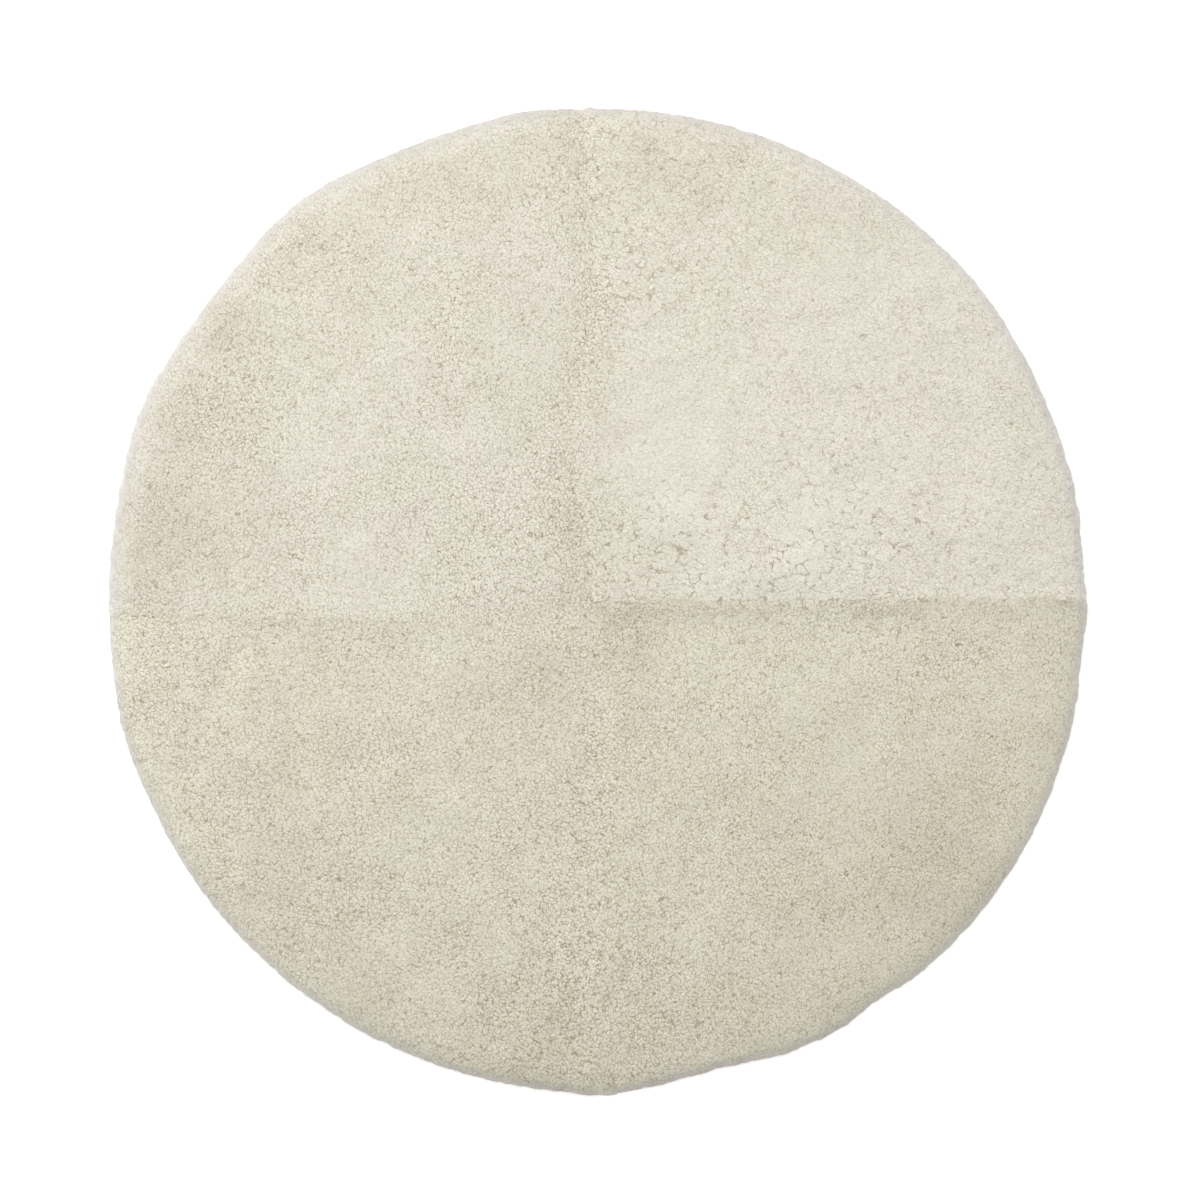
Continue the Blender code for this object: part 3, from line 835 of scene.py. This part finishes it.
def stitch_piece(seam, material):
    """The overcast stitches that join two hides along a seam, on their underside."""
    reach = np.arange(STITCH_MARGIN[0], RUG_RADIUS - HIDE_INSET - STITCH_MARGIN[1], STITCH_PITCH)
    angle = seam_angle(seam, reach)
    stretched = reach * outline_reach(angle) / RUG_RADIUS
    middle = np.array(CROSSING) + stretched[:, None] * np.stack([np.cos(angle), np.sin(angle)], axis=-1)
    along = unit(np.gradient(middle, axis=0))
    aside = np.stack([-along[:, 1], along[:, 0]], axis=-1)
    lines = []
    for share in STITCH_BENDS:
        place = middle + share * (STITCH_REACH * aside + STITCH_SLANT * along)
        height = THREAD_RADIUS + SEAM_LIFT * max(0.0, abs(share) - STITCH_DIP) * 2
        lines.append(np.column_stack([place, np.full(len(place), height)]))
    lines = np.stack(lines, axis=1)
    shell = Shell()
    shell.tubes(lines, THREAD_RADIUS * np.array(STITCH_THICKNESS), middle)
    return new_piece("stitches_" + seam, shell, material)


def spread_node(tree, value, low, high, to_low, to_high, interpolation="LINEAR"):
    """A node that brings a value's range to another. The value is a socket."""
    node = tree.nodes.new("ShaderNodeMapRange")
    node.interpolation_type = interpolation
    tree.links.new(value, node.inputs["Value"])
    for name, number in (("From Min", low), ("From Max", high), ("To Min", to_low), ("To Max", to_high)):
        node.inputs[name].default_value = number
    return node.outputs["Result"]


class Shading:
    """A material, and short ways to add nodes to it."""

    def __init__(self, name):
        self.material = bpy.data.materials.new(name)
        self.material.use_nodes = True
        self.tree = self.material.node_tree
        self.shader = self.tree.nodes["Principled BSDF"]
        self.where = self.add("ShaderNodeTexCoord").outputs["Object"]

    def add(self, kind, **settings):
        node = self.tree.nodes.new(kind)
        for name, value in settings.items():
            setattr(node, name, value)
        return node

    def feed(self, socket, value):
        """Link a socket to another, or set its value."""
        if isinstance(value, bpy.types.NodeSocket):
            self.tree.links.new(value, socket)
        elif isinstance(value, tuple) and socket.type == "RGBA":
            socket.default_value = (*value, 1)
        else:
            socket.default_value = value

    def finish(self, values):
        """Set the shader's own values."""
        for name, value in values.items():
            self.feed(self.shader.inputs[name], value)

    def bump(self, height, strength, distance):
        """Raise the surface by a bump of this distance in metres."""
        node = self.add("ShaderNodeBump")
        for name, value in (("Height", height), ("Strength", strength), ("Distance", distance)):
            self.feed(node.inputs[name], value)
        self.finish({"Normal": node.outputs["Normal"]})

    def math(self, operation, first, second, clamped=False):
        node = self.add("ShaderNodeMath", operation=operation, use_clamp=clamped)
        self.feed(node.inputs[0], first)
        self.feed(node.inputs[1], second)
        return node.outputs["Value"]

    def spread(self, value, low, high, to_low=0.0, to_high=1.0):
        """Bring a value's range to another, smoothly at both ends."""
        return spread_node(self.tree, value, low, high, to_low, to_high, "SMOOTHSTEP")

    def noise(self, scale, detail=2.0, output="Fac", place=None):
        node = self.add("ShaderNodeTexNoise")
        self.feed(node.inputs["Vector"], place or self.where)
        self.feed(node.inputs["Scale"], scale)
        self.feed(node.inputs["Detail"], detail)
        return node.outputs[output]

    def vector_math(self, operation, first, second):
        node = self.add("ShaderNodeVectorMath", operation=operation)
        self.feed(node.inputs[0], first)
        self.feed(node.inputs["Scale"] if operation == "SCALE" else node.inputs[1], second)
        return node.outputs["Vector"]

    def warped(self, scale, detail, reach):
        """Places shifted by noise."""
        shift = self.vector_math("SUBTRACT", self.noise(scale, detail, "Color"), (0.5, 0.5, 0.5))
        return self.vector_math("ADD", self.where, self.vector_math("SCALE", shift, reach))

    def laid(self, place, lie, stretch):
        """Places turned to the way the wool lies, and drawn out along it."""
        turned = self.add("ShaderNodeVectorRotate", rotation_type="Z_AXIS")
        self.feed(turned.inputs["Vector"], place)
        self.feed(turned.inputs["Angle"], math.radians(-lie))
        return self.vector_math("MULTIPLY", turned.outputs["Vector"], (stretch, 1.0, 1.0))

    def edges(self, scale, place):
        """Distance from the borders of small cells."""
        node = self.add("ShaderNodeTexVoronoi", feature="DISTANCE_TO_EDGE")
        self.feed(node.inputs["Vector"], place)
        self.feed(node.inputs["Scale"], scale)
        return node.outputs["Distance"]

    def mix(self, kind, factor, first, second):
        node = self.add("ShaderNodeMix", data_type="RGBA", blend_type=kind)
        self.feed(node.inputs["Factor"], factor)
        colours = [socket for socket in node.inputs if socket.type == "RGBA"]
        self.feed(colours[0], first)
        self.feed(colours[1], second)
        return next(socket for socket in node.outputs if socket.type == "RGBA")


def wool_material(skin):
    """Creamy wool: pale curl tips, gaps in yellower depths with painted shade, soft mottling and fine fibres.
    """
    look = Shading("wool_" + skin.name)
    look.finish({"Roughness": 0.92, "Specular IOR Level": 0.25})
    look.finish({"Sheen Weight": 0.25, "Sheen Roughness": 0.6, "Sheen Tint": (1.0, 0.97, 0.92)})

    nap = look.add("ShaderNodeSeparateXYZ")
    look.feed(nap.inputs[0], look.add("ShaderNodeAttribute", attribute_name="nap").outputs["Vector"])
    fine, coarse, dark = nap.outputs
    haze = look.add("ShaderNodeAttribute", attribute_name="haze").outputs["Fac"]

    # Gaps between the curls, which open and close, and finer ones between the fibres' ends
    place = look.laid(look.warped(150.0, 4.0, 0.0035), skin.lie, 0.85)
    curl_edge = look.edges(skin.fineness, place)
    fine_edge = look.edges(skin.fineness * FIBRE_FINENESS, place)
    open_place = look.spread(look.noise(260.0), 0.35, 0.60)
    curl_gap = look.math("MULTIPLY", look.spread(curl_edge, 0.0, GAP_WIDTH, 1.0, 0.0), open_place)
    fine_gap = look.spread(fine_edge, 0.0, GAP_WIDTH, 1.0, 0.0)
    fine_gap = look.math("MULTIPLY", fine_gap, FIBRE_GAP_WEIGHT)
    gaps = look.math("ADD", look.math("MULTIPLY", curl_gap, CURL_GAP_WEIGHT), fine_gap)
    gaps = look.math("MULTIPLY", gaps, fine)

    # Long gaps between the clumps
    place = look.laid(look.warped(60.0, 5.0, 0.018), skin.lie, 0.6)
    coarse_edge = look.edges(LONG_GAP_FINENESS, place)
    open_place = look.spread(look.noise(95.0, 3.0), 0.46, 0.62)
    long_gap = look.spread(coarse_edge, 0.0, LONG_GAP_WIDTH, 1.0, 0.0)
    long_gap = look.math("MULTIPLY", long_gap, open_place)
    long_gap = look.math("MULTIPLY", long_gap, coarse)

    # The gaps and the nap's dark take the colour towards the depths: painted shade, with the depths' yellower
    # tone
    depth = look.math("ADD", gaps, look.math("MULTIPLY", long_gap, LONG_GAP_WEIGHT))
    depth = look.math("ADD", depth, look.math("MULTIPLY", dark, DARK_WEIGHT), clamped=True)

    shade = look.spread(look.noise(30.0, 3.0), 0.3, 0.7, 0.99, 1.01)
    shade = look.math("MULTIPLY", shade, look.spread(look.noise(480.0), 0.3, 0.7, 0.92, 1.08))
    grey = look.add("ShaderNodeCombineColor")
    for socket in grey.inputs[:3]:
        look.feed(socket, shade)
    tint = look.spread(look.noise(11.0, 3.0), 0.35, 0.65)
    pink = tuple(part * share for part, share in zip(skin.colour, PINKER))
    green = tuple(part * share for part, share in zip(skin.colour, GREENER))
    colour = look.mix("MULTIPLY", 1.0, look.mix("MIX", tint, pink, green), grey.outputs["Color"])
    colour = look.mix("MIX", haze, colour, HAZE_COLOUR)
    look.finish({"Base Color": look.mix("MIX", depth, colour, skin.deep)})

    puffs = look.math("MULTIPLY", look.spread(curl_edge, 0.0, 0.35), 0.35)
    puffs = look.math("SUBTRACT", puffs, look.math("MULTIPLY", curl_gap, 0.5))
    puffs = look.math("SUBTRACT", puffs, long_gap)
    puffs = look.math("ADD", puffs, look.math("MULTIPLY", look.noise(550.0), 2.0))
    look.bump(puffs, strength=0.6, distance=0.0009)
    return look.material


def hide_material():
    """Suede: pale buff, cloudy, with a fine nap."""
    look = Shading("suede")
    look.finish({"Roughness": 0.9, "Sheen Weight": 0.3})
    cloud = look.spread(look.noise(14.0, 4.0), 0.3, 0.7)
    colour = look.mix("MIX", cloud, (0.62, 0.50, 0.36), (0.70, 0.60, 0.46))
    nap = look.spread(look.noise(900.0, 2.0), 0.3, 0.7, 0.0, 0.35)
    look.finish({"Base Color": look.mix("MIX", nap, colour, (0.50, 0.39, 0.27))})
    look.bump(look.noise(700.0, 4.0), strength=0.4, distance=0.0004)
    return look.material


def thread_material():
    """Waxed linen thread, with the ply showing as fine bands."""
    look = Shading("waxed_thread")
    band = look.spread(look.noise(1600.0, 1.0), 0.35, 0.65)
    colour = look.mix("MIX", band, (0.60, 0.54, 0.42), (0.78, 0.73, 0.62))
    look.finish({"Roughness": 0.6, "Base Color": colour})
    return look.material


def floor():
    """A pale floor under the rug, which glows more far out, where the lamps don't reach."""
    mesh = bpy.data.meshes.new("floor")
    corners = [(-1, -1), (1, -1), (1, 1), (-1, 1)]
    points = [(FLOOR_REACH * x, FLOOR_REACH * y, -FLOOR_DROP) for x, y in corners]
    mesh.from_pydata(points, [], [(0, 1, 2, 3)])
    piece = bpy.data.objects.new("floor", mesh)
    bpy.context.scene.collection.objects.link(piece)
    look = Shading("floor")
    away = look.add("ShaderNodeVectorMath", operation="LENGTH")
    look.feed(away.inputs[0], look.where)
    glow = spread_node(look.tree, away.outputs["Value"], *FLOOR_GLOW)
    look.finish({"Base Color": (0.90, 0.90, 0.90), "Roughness": 0.9})
    look.finish({"Emission Color": (1.0, 1.0, 1.0), "Emission Strength": glow})
    mesh.materials.append(look.material)


def sky():
    """A plain studio sky."""
    world = bpy.data.worlds.new("studio")
    bpy.context.scene.world = world
    world.use_nodes = True
    tree = world.node_tree
    direction = tree.nodes.new("ShaderNodeSeparateXYZ")
    tree.links.new(tree.nodes.new("ShaderNodeTexCoord").outputs["Generated"], direction.inputs[0])
    background = tree.nodes["Background"]
    background.inputs["Color"].default_value = (1, 1, 1, 1)
    glow = spread_node(tree, direction.outputs["Z"], *SKY_GLOW, "SMOOTHSTEP")
    tree.links.new(glow, background.inputs["Strength"])


def light_and_camera():
    """Soft studio light from the back left and the sides, and a camera straight above."""
    scene = bpy.context.scene
    for lamp in LAMPS:
        light = bpy.data.lights.new(lamp.name, "AREA")
        light.shape = "DISK"
        light.size = lamp.size
        light.energy = lamp.power
        light_object = bpy.data.objects.new(lamp.name, light)
        light_object.location = lamp.place
        light_object.rotation_euler = (-Vector(lamp.place)).to_track_quat("-Z", "Y").to_euler()
        scene.collection.objects.link(light_object)
    camera = bpy.data.cameras.new("camera")
    camera.lens = CAMERA_LENS
    camera.sensor_width = CAMERA_SENSOR
    camera_object = bpy.data.objects.new("camera", camera)
    camera_object.location = Vector(CAMERA_PLACE) + Vector(centring())
    scene.collection.objects.link(camera_object)
    scene.camera = camera_object
    scene.view_settings.view_transform = "Standard"


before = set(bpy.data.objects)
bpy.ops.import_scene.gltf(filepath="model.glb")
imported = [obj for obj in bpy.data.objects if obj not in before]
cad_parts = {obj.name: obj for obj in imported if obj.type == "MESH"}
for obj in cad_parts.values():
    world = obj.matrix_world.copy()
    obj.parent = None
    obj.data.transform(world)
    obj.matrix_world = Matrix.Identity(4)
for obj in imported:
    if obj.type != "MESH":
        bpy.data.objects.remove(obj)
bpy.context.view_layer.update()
hide_look = hide_material()
thread_look = thread_material()
stitches = {seam: stitch_piece(seam, thread_look) for seam in SEAMS}
for piece in stitches.values():
    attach(piece, "root")
for skin in SKINS:
    wool = wool_points(skin, half_gap(skin))
    wool_look = wool_material(skin)
    fleece_piece = wool_piece(skin, wool, wool_look)
    locks = lock_piece(skin, wool, wool_look)
    hide = hide_piece(skin, hide_look)
    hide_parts("skin_" + skin.name)
    for piece, slot in ((fleece_piece, "wool"), (locks, "wool"), (hide, "hide")):
        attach(piece, "root")
floor()
sky()
light_and_camera()
bpy.context.view_layer.update()
